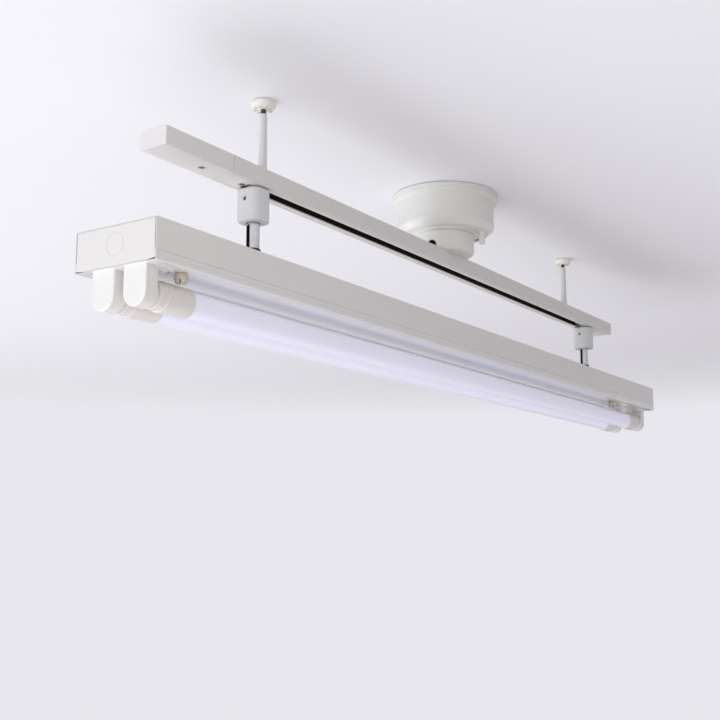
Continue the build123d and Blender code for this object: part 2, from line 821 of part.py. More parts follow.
# End plates, let into the channel with a gap, cut at the lower corners and flanged under its roof
plate_half = lap_inner - end_gap
for end, side in ends.items():
    with BuildPart() as end_plate:
        with BuildSketch(Plane.YZ.offset(end_x(side, 0))):
            with BuildLine():
                Polyline(
                    (0, body_roof),
                    (plate_half, body_roof),
                    (plate_half, pan_top + end_gap + end_corner_height),
                    (plate_half - end_corner_width, pan_top + end_gap),
                    (0, pan_top + end_gap),
                    close=True,
                )
            make_face()
            mirror(about=Plane.YZ)
        extrude(amount=-side * body_sheet)
        with BuildSketch(Plane.YZ.offset(end_x(side, 0))):
            flange_half = plate_half - end_flange_trim
            span(-flange_half, flange_half, body_roof - body_sheet, body_roof)
        extrude(amount=-side * end_flange)
        outward = Axis((0, 0, 0), (side, 0, 0))
        fillet(end_plate.edges().filter_by(Axis.Y).group_by(Axis.Z)[-1].sort_by(outward)[-1], end_bend)
        with BuildSketch(Plane.YZ.offset(end_x(side, 0))):
            with Locations((0, body_bottom + knockout_rise)):
                Circle(knockout_radius)
                Circle(knockout_radius - knockout_groove, mode=Mode.SUBTRACT)
        extrude(amount=-side * knockout_depth, mode=Mode.SUBTRACT)
    save(end_plate, f"end_plate_{end}")

# Stems: bright pipes with a threaded shank through the chassis
for end in ends:
    with BuildPart() as stem:
        with BuildSketch(level(body_top, stem_x[end])):
            Circle(stem_radius)
        extrude(amount=stem_top - body_top)
        chamfer(stem.edges().filter_by(GeomType.CIRCLE).sort_by(Axis.Z)[-1], edge_break)
        with BuildSketch(level(body_top, stem_x[end])):
            Circle(stem_shank_radius)
        extrude(amount=-stem_shank)
        with BuildSketch(level(stem_top, stem_x[end])):
            Circle(stem_bore)
        extrude(amount=body_top - stem_shank - stem_top, mode=Mode.SUBTRACT)
    save(stem, f"stem_{end}")

with BuildPart() as bushes:
    with BuildSketch(level(body_top, body_shift)):
        with GridLocations(2 * stem_spread, 0, 2, 1):
            Circle(bush_radius)
            Circle(stem_radius + snug, mode=Mode.SUBTRACT)
    extrude(amount=bush_height)
    bush_rims = bushes.faces().sort_by(Axis.Z)[-2:]
    chamfer([face.outer_wire().edges()[0] for face in bush_rims], edge_break)
save(bushes, "stem_bushes")

with BuildPart() as stem_nuts:
    with BuildSketch(level(body_roof, body_shift)):
        with GridLocations(2 * stem_spread, 0, 2, 1):
            RegularPolygon(stem_nut_flats / 2, 6, major_radius=False)
            Circle(stem_shank_radius + snug, mode=Mode.SUBTRACT)
    extrude(amount=-stem_nut)
save(stem_nuts, "stem_nuts")

# Plug adaptors: a moulded body on the stem, a twist-lock head in the rail and a set screw
for end in ends:
    with BuildPart() as adaptor:
        with BuildSketch(level(adaptor_top, stem_x[end])):
            RectangleRounded(adaptor_width, adaptor_width, adaptor_corner)
        extrude(amount=-adaptor_height)
        fillet(adaptor.faces().sort_by(Axis.Z)[0].edges(), adaptor_rounding)
        fillet(adaptor.faces().sort_by(Axis.Z)[-1].edges(), adaptor_top_rounding)
        with BuildSketch(level(adaptor_bottom, stem_x[end])):
            Circle(stem_radius + running)
        extrude(amount=stem_top + easy - adaptor_bottom, mode=Mode.SUBTRACT)
        with BuildSketch(level(adaptor_bottom, stem_x[end])):
            Circle(adaptor_mouth_radius)
        extrude(amount=adaptor_mouth, mode=Mode.SUBTRACT)
        with BuildSketch(level(adaptor_top, stem_x[end])):
            Circle(head_spigot_radius + snug)
        extrude(amount=-head_spigot - easy, mode=Mode.SUBTRACT)
        with BuildSketch(Plane.YZ.offset(stem_x[end] - adaptor_half)):
            with Locations((0, adaptor_top - set_screw_drop)):
                Circle(set_screw_radius + snug)
        extrude(amount=adaptor_half - stem_radius, mode=Mode.SUBTRACT)
    save(adaptor, f"adaptor_body_{end}")

    with BuildPart() as head:
        with BuildSketch(level(adaptor_top, stem_x[end])):
            Circle(head_spigot_radius)
        extrude(amount=-head_spigot)
        with BuildSketch(level(adaptor_top, stem_x[end])):
            Circle(head_neck_radius)
        extrude(amount=head_low - adaptor_top)
        with BuildSketch(level(head_low, stem_x[end])):
            Circle(head_radius)
            Rectangle(head_width, 2 * head_radius, mode=Mode.INTERSECT)
        extrude(amount=head_height)
        if end == "left":
            with BuildSketch(level(contact_middle - blade_contact_height / 2, stem_x[end])):
                with GridLocations(0, 2 * head_radius, 1, 2):
                    Rectangle(blade_contact_width, 2 * blade_contact_depth)
            extrude(amount=blade_contact_height, mode=Mode.SUBTRACT)
    save(head, f"adaptor_head_{end}")

    with BuildPart() as set_screw:
        screw_face = stem_x[end] - adaptor_half + set_screw_recess
        with BuildSketch(Plane.YZ.offset(screw_face)):
            with Locations((0, adaptor_top - set_screw_drop)):
                Circle(set_screw_radius)
        extrude(amount=adaptor_half - set_screw_recess - stem_radius - easy)
        with BuildSketch(Plane.YZ.offset(screw_face)):
            with Locations((0, adaptor_top - set_screw_drop)):
                Rectangle(set_screw_cross, recess_width)
                Rectangle(recess_width, set_screw_cross)
        extrude(amount=recess_depth, mode=Mode.SUBTRACT)
    save(set_screw, f"adaptor_screw_{end}")

# Two contacts in the ends of the live head, the left one
with BuildPart() as contacts:
    with BuildSketch(Plane.YZ.offset(stem_x["left"] - blade_contact_width / 2)):
        span(
            head_radius - blade_contact_depth,
            liner_inner - easy,
            contact_middle - blade_contact_height / 2,
            contact_middle + blade_contact_height / 2,
        )
        mirror(about=Plane.YZ)
    extrude(amount=blade_contact_width)
save(contacts, "adaptor_contacts")

# Lampholders: a round-ended block with a seam, a stepped boss for the rotor and a neck through the pan
for lane, lane_y in lanes.items():
    outward = 1 if lane_y > 0 else -1
    for end, side in ends.items():
        with BuildPart() as holder:
            with BuildSketch(across(side, lane_y, holder_boss)):
                Circle(holder_half)
                span(-holder_half, holder_half, 0, tube_drop)
            extrude(amount=holder_thickness)
            outer_face = holder.faces().sort_by(Axis((0, 0, 0), (side, 0, 0)))[-1]
            rounded_edges = outer_face.edges().filter_by(
                lambda edge: edge.center().Z < body_bottom - snug
            )
            fillet(rounded_edges, holder_rounding)
            with BuildSketch(across(side, lane_y, holder_boss + holder_thickness - holder_seam_inset)):
                Circle(holder_half)
                span(-holder_half, holder_half, 0, tube_drop)
                seam_half = holder_half - holder_seam_depth
                Circle(seam_half, mode=Mode.SUBTRACT)
                span(-seam_half, seam_half, 0, tube_drop, mode=Mode.SUBTRACT)
            extrude(amount=holder_seam, mode=Mode.SUBTRACT)
            with BuildSketch(across(side, lane_y, holder_boss)):
                Circle(holder_boss_base_radius)
            extrude(amount=-holder_boss_base)
            with BuildSketch(across(side, lane_y, holder_boss)):
                Circle(holder_boss_radius)
            extrude(amount=easy - holder_boss)
            with BuildSketch(across(side, lane_y, holder_boss)):
                with Locations((side * outward * holder_hole_offset, holder_hole_rise)):
                    Circle(holder_hole_radius)
            extrude(amount=holder_hole_depth, mode=Mode.SUBTRACT)
            with BuildSketch(across(side, lane_y, easy)):
                Circle(rotor_radius + running)
            extrude(amount=rotor_length + 2 * easy, mode=Mode.SUBTRACT)
            with BuildSketch(across(side, lane_y, easy)):
                span(-entry_slot / 2, entry_slot / 2, -holder_half, 0)
            extrude(amount=pin_length, mode=Mode.SUBTRACT)
            middle_x = body_shift + side * holder_middle
            with BuildSketch(level(body_bottom, middle_x, lane_y)):
                Rectangle(holder_neck_depth, holder_neck_width)
            extrude(amount=holder_neck)
            tongue_x = body_shift + side * (holder_inner - holder_tongue / 2)
            tongue_y = lane_y + outward * (holder_half - holder_tongue_width / 2)
            with BuildSketch(level(body_bottom, tongue_x, tongue_y)):
                Rectangle(holder_tongue, holder_tongue_width)
            extrude(amount=-holder_tongue_drop)
        save(holder, f"lampholder_{lane}_{end}")

# Tubes: two caps with pins, a diffuser, an LED board and a driver, and the rotors that turn with them
socket_start = cap_length - cap_socket
for lane, lane_y in lanes.items():
    with BuildPart() as caps:
        for side in ends.values():
            with BuildSketch(tube_plane(side, lane_y)):
                with BuildLine():
                    lip_low = diffuser_radius + running
                    lip_high = (diffuser_radius + cap_radius) / 2
                    Polyline(
                        (cap_length, lip_low),
                        (socket_start, lip_low),
                        (socket_start, cap_cavity_radius),
                        (cap_end_wall, cap_cavity_radius),
                        (cap_end_wall, 0),
                        (0, 0),
                        (0, cap_collar_radius - edge_break),
                        (edge_break, cap_collar_radius),
                        (cap_collar, cap_collar_radius),
                        (cap_collar, cap_radius + cap_ridge_height),
                        (cap_collar + cap_ridge, cap_radius + cap_ridge_height),
                        (cap_collar + cap_ridge, cap_radius),
                        (cap_length - cap_rounding, cap_radius),
                    )
                    TangentArc(
                        (cap_length - cap_rounding, cap_radius),
                        (cap_length, lip_high),
                        tangent=(1, 0),
                    )
                    Line((cap_length, lip_high), (cap_length, lip_low))
                make_face()
            tube_axis = Axis((body_shift, lane_y, tube_z), (1, 0, 0))
            revolve(axis=tube_axis)
            with BuildSketch(across(side, lane_y, 0)):
                with GridLocations(pin_pitch, 0, 2, 1):
                    Circle(pin_radius + running)
            extrude(amount=-cap_end_wall, mode=Mode.SUBTRACT)
    save(caps, f"tube_caps_{lane}")

    with BuildPart() as pins:
        for side in ends.values():
            with BuildSketch(across(side, lane_y, -cap_end_wall)):
                with GridLocations(pin_pitch, 0, 2, 1):
                    Circle(pin_radius)
            extrude(amount=cap_end_wall + pin_length)
    save(pins, f"tube_pins_{lane}")

    with BuildPart() as diffuser:
        with BuildSketch(across(-1, lane_y, -socket_start - snug)):
            Circle(diffuser_radius)
            Circle(diffuser_radius - diffuser_wall, mode=Mode.SUBTRACT)
        extrude(amount=2 * (socket_start + snug) - tube_length)
    save(diffuser, f"diffuser_{lane}")

    with BuildPart() as led_board:
        board_length = tube_length - 2 * board_margin
        with BuildSketch(level(tube_z + board_rise, body_shift, lane_y)):
            Rectangle(board_length, board_width)
        extrude(amount=board_thickness)
        with BuildSketch(level(tube_z + board_rise, body_shift, lane_y)):
            with GridLocations(chip_pitch, 0, int(board_length / chip_pitch) - 1, 1):
                Rectangle(chip_size, chip_size)
        extrude(amount=-chip_height)
    save(led_board, f"led_board_{lane}")

    with BuildPart() as driver:
        driver_x = body_shift - cap_face + cap_end_wall + driver_length / 2
        with BuildSketch(level(tube_z, driver_x, lane_y)):
            Rectangle(driver_length, driver_width)
        extrude(amount=-driver_board)
        with BuildSketch(level(tube_z - driver_board, driver_x, lane_y)):
            with GridLocations(driver_length / driver_parts, 0, driver_parts, 1):
                Rectangle(driver_part_length, driver_part_width)
        extrude(amount=-driver_part_height)
    save(driver, f"tube_driver_{lane}")

    with BuildPart() as rotors:
        for side in ends.values():
            with BuildSketch(across(side, lane_y, 2 * easy)):
                Circle(rotor_radius)
            extrude(amount=rotor_length)
            with BuildSketch(across(side, lane_y, 2 * easy)):
                Rectangle(2 * rotor_radius, rotor_slot)
            extrude(amount=pin_length, mode=Mode.SUBTRACT)
    save(rotors, f"rotors_{lane}")

# Slotted knobs that hold the pan up
for end in ends:
    with BuildPart() as knob:
        with BuildSketch(upright(knob_x[end], -knob_offset, knob_top)):
            with BuildLine():
                Polyline(
                    (0, knob_shank_length),
                    (knob_shank, knob_shank_length),
                    (knob_shank, 0),
                    (knob_top_radius, 0),
                    (knob_radius, -knob_bevel),
                    (knob_radius, -knob_straight),
                    (knob_tip_radius, -knob_height),
                    (0, -knob_height),
                    close=True,
                )
            make_face()
        revolve(axis=Axis((knob_x[end], -knob_offset, 0), (0, 0, 1)))
        with BuildSketch(level(knob_top - knob_height, knob_x[end], -knob_offset)):
            Rectangle(2 * knob_radius, knob_slot, rotation=knob_slot_turn)
        extrude(amount=knob_slot_depth, mode=Mode.SUBTRACT)
    save(knob, f"pan_knob_{end}")

# Folded brackets under the channel's roof, which the knobs screw into
with BuildPart() as knob_brackets:
    web = -knob_offset - knob_bracket_flange / 2
    foot_low = pan_top + knob_bracket_rise
    for x in knob_x.values():
        with BuildSketch(Plane.YZ.offset(x)):
            span(web, web + knob_bracket_flange, foot_low, foot_low + knob_bracket_sheet)
            span(web, web + knob_bracket_sheet, foot_low, body_roof)
            span(web, web + knob_bracket_flange, body_roof - knob_bracket_sheet, body_roof)
        extrude(amount=knob_bracket_width / 2, both=True)
        with BuildSketch(level(foot_low, x, -knob_offset)):
            Circle(knob_shank + running)
        extrude(amount=knob_bracket_sheet, mode=Mode.SUBTRACT)
save(knob_brackets, "knob_brackets")

# Terminal block under the channel's roof, with a row of screw ports
block_x = stem_x["left"] + block_place
with BuildPart() as block:
    with BuildSketch(level(body_roof, block_x)):
        Rectangle(block_length, block_width)
    extrude(amount=-block_height)
    with BuildSketch(level(body_roof - block_height, block_x)):
        with GridLocations(0, block_width / (block_ports + 1), 1, block_ports):
            Circle(block_port_radius)
    extrude(amount=block_port_depth, mode=Mode.SUBTRACT)
save(block, "terminal_block")

# Leads inside the channel: one from the live stem, and one from the block to each lampholder
with BuildPart() as leads:
    lead_level = body_roof - lead_drop
    for lane_y in lanes.values():
        for side in ends.values():
            holder_x = body_shift + side * holder_middle
            start = (holder_x, lane_y, body_bottom + holder_neck)
            corner = (holder_x, lane_y, lead_level)
            finish = (block_x + side * block_length / 2, lane_y, lead_level)
            with BuildLine() as lead_route:
                FilletPolyline(start, corner, finish, radius=lead_bend)
            with BuildSketch(level(start[2], holder_x, lane_y)):
                Circle(lead_radius)
            sweep(path=lead_route.wires()[0])
    supply_level = body_roof - supply_drop
    supply_start = body_top - stem_shank / 2
    with BuildLine() as supply_route:
        FilletPolyline(
            (stem_x["left"], 0, supply_start),
            (stem_x["left"], 0, supply_level),
            (block_x - block_length / 2, 0, supply_level),
            radius=lead_bend,
        )
    with BuildSketch(level(supply_start, stem_x["left"])):
        Circle(supply_radius)
    sweep(path=supply_route.wires()[0])
save(leads, "wiring_leads")
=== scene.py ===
import bpy
import json
import math
from mathutils import Matrix, Vector


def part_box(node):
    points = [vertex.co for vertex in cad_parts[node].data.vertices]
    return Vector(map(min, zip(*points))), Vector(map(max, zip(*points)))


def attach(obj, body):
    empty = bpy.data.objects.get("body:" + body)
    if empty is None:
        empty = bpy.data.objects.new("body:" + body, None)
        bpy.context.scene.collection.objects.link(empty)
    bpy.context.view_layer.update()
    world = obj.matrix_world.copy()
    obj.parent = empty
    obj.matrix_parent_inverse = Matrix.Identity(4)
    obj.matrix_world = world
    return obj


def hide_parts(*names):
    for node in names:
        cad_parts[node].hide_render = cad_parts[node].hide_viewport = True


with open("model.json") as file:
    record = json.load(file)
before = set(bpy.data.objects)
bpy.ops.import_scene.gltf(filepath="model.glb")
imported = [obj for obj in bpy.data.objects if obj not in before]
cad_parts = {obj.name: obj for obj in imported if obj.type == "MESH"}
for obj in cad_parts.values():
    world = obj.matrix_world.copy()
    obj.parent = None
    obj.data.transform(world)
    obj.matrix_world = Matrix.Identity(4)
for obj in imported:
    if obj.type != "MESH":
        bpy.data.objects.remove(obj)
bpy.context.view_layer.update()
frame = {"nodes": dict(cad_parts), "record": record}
NODES = frame["nodes"]

# Camera, fitted to the photograph: place in metres, view direction and the direction to its right
CAMERA_PLACE = Vector((-1.2625, -0.7062, -0.4681))
CAMERA_FORWARD = Vector((0.8194, 0.5477, 0.1688))
CAMERA_RIGHT = Vector((0.5557, -0.8314, 0.0))
CAMERA_LENS = 55.66
CAMERA_SENSOR = 36.0

# Stage: a ceiling just above the canopy's rim and a pale floor far below, both fading out with distance
CEILING_RISE = 0.0012
FLOOR_DROP = 2.4
STAGE_RADIUS = 6.0
STAGE_ROUGHNESS = 0.9
CEILING_FADE = (1.1, 2.6)
FLOOR_FADE = (2.5, 5.5)
CEILING_COLOUR = (0.76, 0.76, 0.79)
CEILING_GLOW = (0.10, 0.10, 0.105)
FLOOR_COLOUR = (0.87, 0.87, 0.905)
FLOOR_GLOW = (0.33, 0.33, 0.345)
BACKGROUND_COLOUR = (0.80, 0.80, 0.845)

# The ceiling passes light on to the canopy and the feet, and reflections see its far left part dark, as in a
# dim room: radii of the openings, and the least y and greatest x of the dark part. The floor has neither
FOOT_PLACE = (0.39, 0.0, 0.0)
CEILING_OPENINGS = (0.066, 0.012)
CEILING_DARK = (0.17, 0.33)
FLOOR_OPENINGS = (0.0, 0.0)
FLOOR_DARK = (100.0, -100.0)
DARK_COLOUR = (0.01, 0.01, 0.01)

# Dark boards behind the part, seen by reflections alone, with a bright slit between them: distance, the two
# levels of each and reach to either side
BACKDROP_AWAY = 0.25
BACKDROP_LEVELS = ((-1.0, -0.33), (-0.3085, -0.28))
BACKDROP_REACH = 3.0

# Light from all round, and the lamps: place, target, size in metres, power in watts and colour
WORLD_COLOUR = (1.0, 0.94, 0.935)
WORLD_STRENGTH = 0.41
LAMPS = {
    "key": ((-2.7, 0.8, -0.7), (-0.1, 0, -0.12), 1.6, 22, (0.88, 0.93, 1.0)),
    "fill": ((-0.3, 1.2, -2.2), (0, 0, -0.1), 2.6, 42, (1, 1, 1)),
    "low": ((-1.3, 0.1, -2.0), (-0.3, 0, -0.1), 1.4, 8, (1, 1, 1)),
    "front": ((-1.3, -0.9, -0.75), (-0.3, 0, -0.15), 0.8, 3.1, (1.0, 0.97, 0.89)),
}

# Bumps of each kind of finish: scale and detail of the noise, depth in metres and strength
COAT_BUMPS = (500.0, 2.0, 0.00002, 0.2)
MOULD_BUMPS = (900.0, 2.0, 0.00001, 0.2)
METAL_BUMPS = (900.0, 4.0, 0.00001, 0.3)

# How gloss and tint wander: scale and detail of the noise for each, and how far they go
COAT_GLOSS = (25.0, 1.0)
COAT_TINT = (4.0, 0.0)
MOULD_GLOSS = (40.0, 1.0)
MOULD_TINT = (6.0, 0.0)
METAL_TINT = (90.0, 3.0)
GLOSS_STEP = 0.008
TINT_SHARE = 0.99
METAL_GLOSS_SHARES = (0.75, 1.25)
METAL_TINT_SHARE = 0.85
PATTERN_RANGE = (0.2, 0.8)

# Colour and roughness of each slot, and the stretch of the marks on metal
PLASTICS = {
    "canopy_plastic": ((0.83, 0.83, 0.80), 0.24),
    "plug_plastic": ((0.78, 0.77, 0.73), 0.5),
    "rail_cap_plastic": ((0.82, 0.80, 0.79), 0.45),
    "liner_black": ((0.02, 0.02, 0.02), 0.6),
    "pad_cream": ((0.93, 0.925, 0.86), 0.42),
    "bush_black": ((0.02, 0.02, 0.02), 0.55),
    "adaptor_plastic": ((0.745, 0.755, 0.77), 0.48),
    "holder_plastic": ((0.87, 0.86, 0.845), 0.3),
    # tube_cap_plastic is warmer and darker than the holders' white: painted shade
    "tube_cap_plastic": ((0.83, 0.79, 0.775), 0.34),
    "led_board_white": ((0.85, 0.85, 0.80), 0.45),
    "driver_green": ((0.06, 0.25, 0.12), 0.48),
    # knob_plastic is a darker beige-brown: painted shade on a white plastic knob
    "knob_plastic": ((0.60, 0.55, 0.48), 0.48),
    "lead_pvc": ((0.75, 0.75, 0.73), 0.45),
}
COATS = {
    "rail_paint": ((0.80, 0.775, 0.76), 0.36),
    "rod_paint": ((0.76, 0.765, 0.77), 0.34),
    "body_paint": ((0.82, 0.805, 0.79), 0.28),
}
METALS = {
    # zinc_steel is darkened, as painted shade of the recesses the screws sit in
    "zinc_steel": ((0.34, 0.34, 0.35), 0.36, (1, 1, 1)),
    "contact_brass": ((0.78, 0.62, 0.33), 0.3, (1, 1, 1)),
    # conductor_copper is darkened far below copper's own colour: painted shade, so the rail's slot looks
    # dark
    "conductor_copper": ((0.12, 0.08, 0.06), 0.55, (1, 1, 1)),
    "stud_steel": ((0.16, 0.16, 0.16), 0.45, (1, 1, 1)),
    "stem_chrome": ((0.66, 0.66, 0.665), 0.06, (1, 1, 0.05)),
}

# Flat faces of the reflector pan and their lacquer, and the milky tubes and their painted glow
# The flat faces' colour is lighter than the upright faces' paint: painted light on the faces that lie level
PAN_FLAT_PAINTED_LIGHT = ((0.92, 0.92, 0.91), 0.13)
PAN_LACQUER = 0.6
DIFFUSER = ((0.78, 0.78, 0.86), 0.28)
# This glow is painted light: an emission that stands in for light the tubes pass on
DIFFUSER_PAINTED_GLOW = (0.17, 0.17, 0.225)

# How far a milky tube's surface faces its back, where its painted glow starts to fade and where it ends,
# leaving painted shade on its back
PAINTED_GLOW_FADE = (0.6, 0.92)

# Thread of the foot studs, in metres: its pitch, by which a foot rises in one turn, its depth and the length
# of the taper at each end, then the points round a turn and the rows along one pitch
THREAD_PITCH = 0.001
THREAD_DEPTH = 0.0006
THREAD_LEAD = 0.0012
THREAD_SIDES = 36
THREAD_ROWS = 6


def link(thing):
    """Put an object in the scene."""
    bpy.context.scene.collection.objects.link(thing)


def make_camera():
    """The photograph's camera."""
    data = bpy.data.cameras.new("camera")
    data.lens = CAMERA_LENS
    data.sensor_width = CAMERA_SENSOR
    camera = bpy.data.objects.new("camera", data)
    link(camera)
    forward = CAMERA_FORWARD.normalized()
    right = CAMERA_RIGHT.normalized()
    up = right.cross(forward)
    turn = Matrix((right, up, -forward)).transposed().to_4x4()
    camera.matrix_world = Matrix.Translation(CAMERA_PLACE) @ turn
    bpy.context.scene.camera = camera


def add_node(tree, kind, **values):
    """A shader node with some of its input sockets set."""
    node = tree.nodes.new(kind)
    for name, value in values.items():
        node.inputs[name.replace("_", " ")].default_value = value
    return node


def add_math(tree, operation, first, second):
    """A math node on two sockets, or on a socket and a number."""
    node = add_node(tree, "ShaderNodeMath")
    node.operation = operation
    tree.links.new(first, node.inputs[0])
    if isinstance(second, float):
        node.inputs[1].default_value = second
    else:
        tree.links.new(second, node.inputs[1])
    return node.outputs[0]


def add_vector_math(tree, operation, first, second=(0.0, 0.0, 0.0)):
    """The outputs of a vector math node on a socket and a fixed vector."""
    node = add_node(tree, "ShaderNodeVectorMath")
    node.operation = operation
    tree.links.new(first, node.inputs[0])
    node.inputs[1].default_value = second
    return node.outputs


def split_vector(tree, vector):
    """The parts of a vector along X, Y and Z."""
    node = add_node(tree, "ShaderNodeSeparateXYZ")
    tree.links.new(vector, node.inputs[0])
    return node.outputs


def add_mix(tree, share, first, second):
    """A mix of two shaders."""
    node = add_node(tree, "ShaderNodeMixShader")
    tree.links.new(share, node.inputs[0])
    tree.links.new(first, node.inputs[1])
    tree.links.new(second, node.inputs[2])
    return node.outputs[0]


def seen_rays(tree, path):
    """1 for what the camera sees directly, mirrored or through glass, and 0 for the light on the object."""
    direct = add_math(tree, "MAXIMUM", path["Is Camera Ray"], path["Is Glossy Ray"])
    return add_math(tree, "MAXIMUM", direct, path["Is Transmission Ray"])


def make_world():
    """Even light from all round, and the pale background where it is seen directly or in a reflection."""
    world = bpy.data.worlds.new("studio")
    bpy.context.scene.world = world
    world.use_nodes = True
    tree = world.node_tree
    tree.nodes.clear()
    path = add_node(tree, "ShaderNodeLightPath").outputs
    light = add_node(tree, "ShaderNodeBackground", Color=(*WORLD_COLOUR, 1), Strength=WORLD_STRENGTH)
    shown = add_node(tree, "ShaderNodeBackground", Color=(*BACKGROUND_COLOUR, 1), Strength=1.0)
    out = add_node(tree, "ShaderNodeOutputWorld")
    mix = add_mix(tree, seen_rays(tree, path), light.outputs[0], shown.outputs[0])
    tree.links.new(mix, out.inputs[0])


def finish(slot, colour, roughness, metallic=0.0, coat=0.0):
    """A material with its plain values set on the shader."""
    material = bpy.data.materials.new(slot)
    material.use_nodes = True
    shader = material.node_tree.nodes["Principled BSDF"]
    shader.inputs["Base Color"].default_value = (*colour, 1)
    shader.inputs["Roughness"].default_value = roughness
    shader.inputs["Metallic"].default_value = metallic
    shader.inputs["Coat Weight"].default_value = coat
    return material


def opening_mask(tree, place, reach, openings):
    """1 above the canopy and above either foot."""
    either = add_vector_math(tree, "ABSOLUTE", place)["Vector"]
    foot = add_vector_math(tree, "DISTANCE", either, FOOT_PLACE)["Value"]
    over_canopy = add_math(tree, "LESS_THAN", reach, openings[0])
    over_foot = add_math(tree, "LESS_THAN", foot, openings[1])
    return add_math(tree, "MAXIMUM", over_canopy, over_foot)


def dark_mask(tree, place, dark):
    """1 on the part that reflections see dark."""
    axes = split_vector(tree, place)
    behind = add_math(tree, "GREATER_THAN", axes["Y"], dark[0])
    leftward = add_math(tree, "LESS_THAN", axes["X"], dark[1])
    return add_math(tree, "MULTIPLY", behind, leftward)


def stage_material(name, colour, glow, fade, openings, dark):
    """Matt pale paint that fades out with distance and doesn't show from behind."""
    material = finish(name, colour, STAGE_ROUGHNESS)
    tree = material.node_tree
    shader = tree.nodes["Principled BSDF"]
    path = add_node(tree, "ShaderNodeLightPath").outputs
    back = add_node(tree, "ShaderNodeNewGeometry").outputs["Backfacing"]
    place = add_node(tree, "ShaderNodeTexCoord").outputs["Object"]
    reach = add_vector_math(tree, "LENGTH", place)["Value"]
    fading = add_node(tree, "ShaderNodeMapRange", From_Min=fade[0], From_Max=fade[1])
    fading.interpolation_type = "SMOOTHSTEP"
    tree.links.new(reach, fading.inputs["Value"])
    unseen = add_math(tree, "LESS_THAN", path["Is Camera Ray"], 0.5)
    passing = add_math(tree, "MULTIPLY", opening_mask(tree, place, reach, openings), unseen)
    hidden = add_math(tree, "MAXIMUM", fading.outputs["Result"], back)
    hidden = add_math(tree, "MAXIMUM", hidden, passing)
    mirrored = add_math(tree, "MULTIPLY", dark_mask(tree, place, dark), path["Is Glossy Ray"])
    clear = add_node(tree, "ShaderNodeBsdfTransparent")
    dim = add_node(tree, "ShaderNodeBsdfDiffuse", Color=(*DARK_COLOUR, 1))
    lift = add_node(tree, "ShaderNodeEmission", Color=(*glow, 1), Strength=1.0)
    lifted = add_node(tree, "ShaderNodeAddShader")
    tree.links.new(shader.outputs[0], lifted.inputs[0])
    tree.links.new(lift.outputs[0], lifted.inputs[1])
    paint = add_mix(tree, seen_rays(tree, path), shader.outputs[0], lifted.outputs[0])
    paint = add_mix(tree, mirrored, paint, dim.outputs[0])
    paint = add_mix(tree, hidden, paint, clear.outputs[0])
    tree.links.new(paint, tree.nodes["Material Output"].inputs["Surface"])
    return material


def make_stage():
    """Ceiling above the part and floor below it."""
    ceiling = (CEILING_COLOUR, CEILING_GLOW, CEILING_FADE, CEILING_OPENINGS, CEILING_DARK)
    floor = (FLOOR_COLOUR, FLOOR_GLOW, FLOOR_FADE, FLOOR_OPENINGS, FLOOR_DARK)
    for name, height, normal, look in (
        ("stage_ceiling", CEILING_RISE, -1, ceiling),
        ("stage_floor", -FLOOR_DROP, 1, floor),
    ):
        mesh = bpy.data.meshes.new(name)
        r = STAGE_RADIUS
        corners = [(-r, -r, 0), (r, -r, 0), (r, r, 0), (-r, r, 0)]
        mesh.from_pydata(corners, [], [(0, 1, 2, 3)[::normal]])
        mesh.materials.append(stage_material(name, *look))
        sheet = bpy.data.objects.new(name, mesh)
        sheet.location = (0, 0, height)
        link(sheet)


def make_backdrop():
    """Dark upright boards behind the part, seen by reflections alone."""
    mesh = bpy.data.meshes.new("stage_backdrop")
    r = BACKDROP_REACH
    corners = []
    for low, high in BACKDROP_LEVELS:
        corners += [(-r, 0, low), (r, 0, low), (r, 0, high), (-r, 0, high)]
    faces = [tuple(range(first, first + 4)) for first in range(0, len(corners), 4)]
    mesh.from_pydata(corners, [], faces)
    mesh.materials.append(finish("stage_backdrop", DARK_COLOUR, STAGE_ROUGHNESS))
    board = bpy.data.objects.new("stage_backdrop", mesh)
    board.location = (0, BACKDROP_AWAY, 0)
    board.visible_camera = False
    board.visible_diffuse = False
    board.visible_shadow = False
    board.visible_transmission = False
    link(board)


def make_lamps():
    """Square soft lights: key from the feed cap's end, two from below and a faint warm one in front."""
    for name, (place, target, size, power, colour) in LAMPS.items():
        data = bpy.data.lights.new(name, "AREA")
        data.size = size
        data.energy = power
        data.color = colour
        lamp = bpy.data.objects.new(name, data)
        lamp.location = place
        aim = Vector(target) - Vector(place)
        lamp.rotation_euler = aim.to_track_quat("-Z", "Y").to_euler()
        link(lamp)


def grain(material, scale, detail, stretch=(1, 1, 1)):
    """Noise in the part's own metres."""
    tree = material.node_tree
    place = add_node(tree, "ShaderNodeTexCoord")
    mapping = add_node(tree, "ShaderNodeMapping", Scale=stretch)
    noise = add_node(tree, "ShaderNodeTexNoise", Scale=scale, Detail=detail)
    tree.links.new(place.outputs["Object"], mapping.inputs["Vector"])
    tree.links.new(mapping.outputs["Vector"], noise.inputs["Vector"])
    return noise.outputs["Fac"]


def spread_roughness(material, pattern, low, high):
    """Roughness that goes from one value to another with a pattern."""
    tree = material.node_tree
    start, end = PATTERN_RANGE
    spread = add_node(tree, "ShaderNodeMapRange", From_Min=start, From_Max=end, To_Min=low, To_Max=high)
    tree.links.new(pattern, spread.inputs["Value"])
    tree.links.new(spread.outputs["Result"], tree.nodes["Principled BSDF"].inputs["Roughness"])


